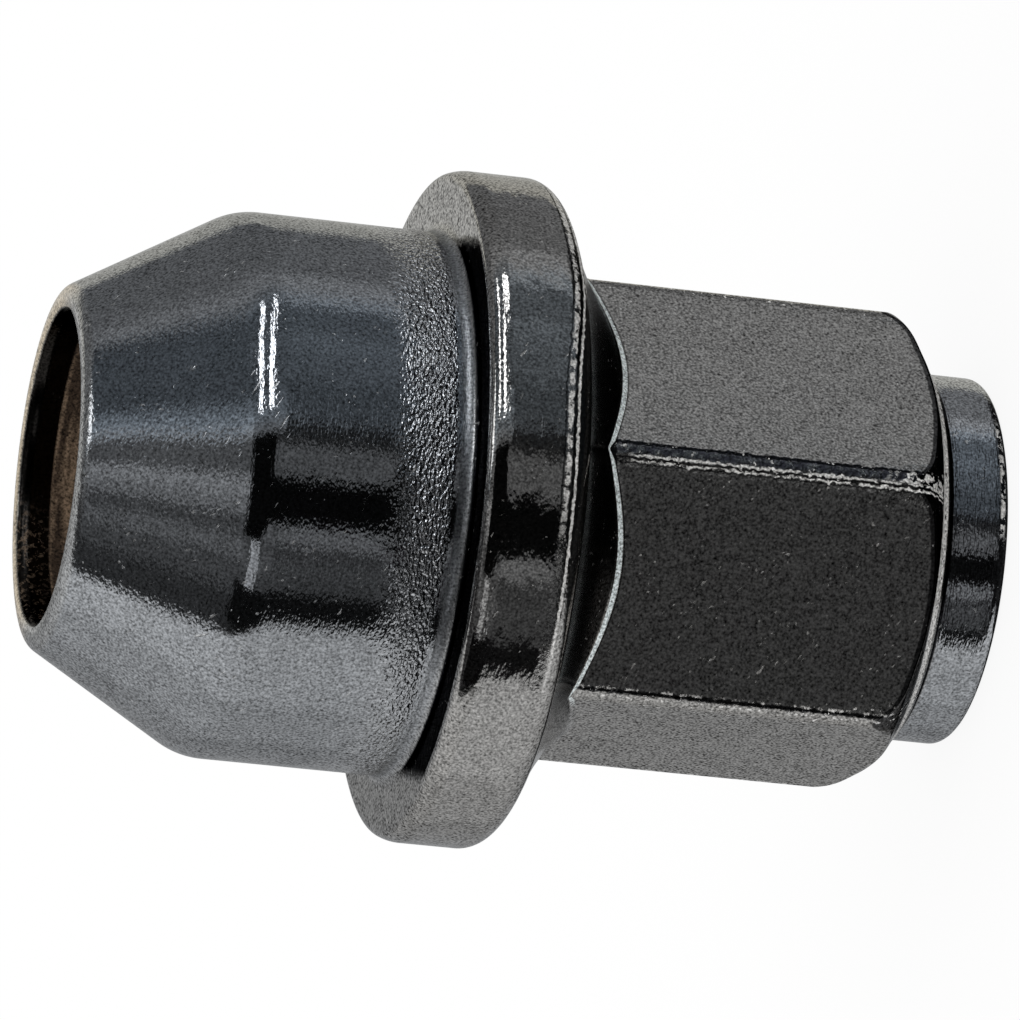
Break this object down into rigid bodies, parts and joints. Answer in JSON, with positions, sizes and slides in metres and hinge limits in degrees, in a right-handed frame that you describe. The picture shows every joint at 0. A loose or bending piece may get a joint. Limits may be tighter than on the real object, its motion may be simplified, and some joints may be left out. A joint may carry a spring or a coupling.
{
  "type": "lug nut",
  "caption": "Solid wheel lug nut: hex with a rounded end and round boss, round flange, plain shank and conical seat, with a blind threaded hole from the mouth.",
  "frame": {"origin": "centre of the closed end face, on which the nut stands", "axes": "+Z along the thread axis, out of the mouth; -Y is the outward normal of one flat of the hex"},
  "size_m": [0.034, 0.034, 0.0475],
  "materials": {
    "plated_steel": "bright dark plating, scuffed along the edges"
  },
  "bodies": {
    "root": {"lug_nut": "plated_steel"}
  },
  "joints": []
}
